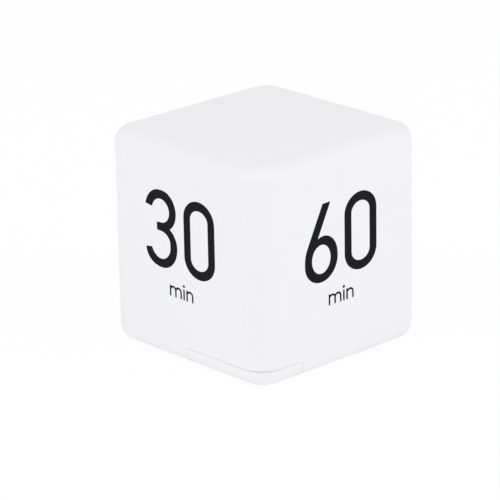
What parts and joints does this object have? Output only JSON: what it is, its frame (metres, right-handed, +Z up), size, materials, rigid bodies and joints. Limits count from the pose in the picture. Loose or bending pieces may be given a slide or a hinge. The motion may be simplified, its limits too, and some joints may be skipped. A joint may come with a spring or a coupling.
{
  "type": "cube timer",
  "caption": "White plastic cube countdown timer with rounded edges: turning a numbered side up starts it. Display, slide switch and corner battery door are on its base.",
  "frame": {"origin": "middle of the display face, which the cube stands on", "axes": "+Z up, out of the blank face; -Y out of the 30 minute side; +X out of the 60 minute side"},
  "size_m": [0.0636, 0.0636, 0.0635],
  "materials": {
    "white_plastic": "satin",
    "black_plastic": "satin",
    "screw_steel": "satin",
    "contact_nickel": "satin",
    "brass": "satin",
    "cell_jacket": "satin",
    "board_laminate": "satin",
    "window_plastic": "gloss",
    "lcd_glass": "gloss",
    "zebra_rubber": "matte",
    "lamp_red": "gloss",
    "sounder_ceramic": "matte",
    "amber_base": "satin",
    "epoxy_black": "satin",
    "ferrite": "matte",
    "lead_red": "satin",
    "lead_black": "satin",
    "lead_white": "satin"
  },
  "bodies": {
    "casing": {"battery_holder": "white_plastic", "board_screw_1": "screw_steel", "board_screw_2": "screw_steel", "board_screw_3": "screw_steel", "boost_coil": "ferrite", "bottom_plate": "white_plastic", "case_screw_1": "screw_steel", "case_screw_2": "screw_steel", "case_screw_3": "screw_steel", "cell_a": "cell_jacket", "cell_b": "cell_jacket", "circuit_board": "board_laminate", "contact_negative": "contact_nickel", "contact_positive": "contact_nickel", "controller_blob": "epoxy_black", "crystal": "contact_nickel", "filter_capacitor": "black_plastic", "holder_screw_1": "screw_steel", "holder_screw_2": "screw_steel", "lcd_holder": "black_plastic", "lcd_panel": "lcd_glass", "lcd_window": "window_plastic", "led": "lamp_red", "main_shell": "white_plastic", "resistor_1": "black_plastic", "resistor_2": "black_plastic", "resistor_3": "black_plastic", "sounder_ceramic": "sounder_ceramic", "sounder_disc": "brass", "sounder_wire_1": "lead_white", "sounder_wire_2": "lead_white", "spring_negative": "contact_nickel", "switch_housing": "contact_nickel", "tilt_base_nx": "amber_base", "tilt_base_ny": "amber_base", "tilt_base_px": "amber_base", "tilt_base_py": "amber_base", "tilt_can_nx": "contact_nickel", "tilt_can_ny": "contact_nickel", "tilt_can_px": "contact_nickel", "tilt_can_py": "contact_nickel", "transistor": "black_plastic", "wire_black": "lead_black", "wire_red": "lead_red", "zebra_strip_1": "zebra_rubber", "zebra_strip_2": "zebra_rubber"},
    "door": {"battery_door": "white_plastic", "bridge_contact": "contact_nickel", "bridge_spring": "contact_nickel"},
    "switch_slider": {"switch_knob": "black_plastic", "switch_lever": "black_plastic"},
    "ball_px": {"tilt_ball_px": "brass"},
    "ball_py": {"tilt_ball_py": "brass"},
    "ball_nx": {"tilt_ball_nx": "brass"},
    "ball_ny": {"tilt_ball_ny": "brass"}
  },
  "joints": [
    {"name": "door_slide", "type": "slide", "parent": "casing", "child": "door", "axis": [0, -1, 0], "range_m": [0, 0.02]},
    {"name": "switch_slide", "type": "slide", "parent": "casing", "child": "switch_slider", "axis": [1, 0, 0], "range_m": [0, 0.0025]},
    {"name": "ball_px_roll", "type": "slide", "parent": "casing", "child": "ball_px", "axis": [-1, 0, 0], "range_m": [0, 0.0024]},
    {"name": "ball_py_roll", "type": "slide", "parent": "casing", "child": "ball_py", "axis": [0, -1, 0], "range_m": [0, 0.0024]},
    {"name": "ball_nx_roll", "type": "slide", "parent": "casing", "child": "ball_nx", "axis": [1, 0, 0], "range_m": [0, 0.0024]},
    {"name": "ball_ny_roll", "type": "slide", "parent": "casing", "child": "ball_ny", "axis": [0, 1, 0], "range_m": [0, 0.0024]}
  ]
}
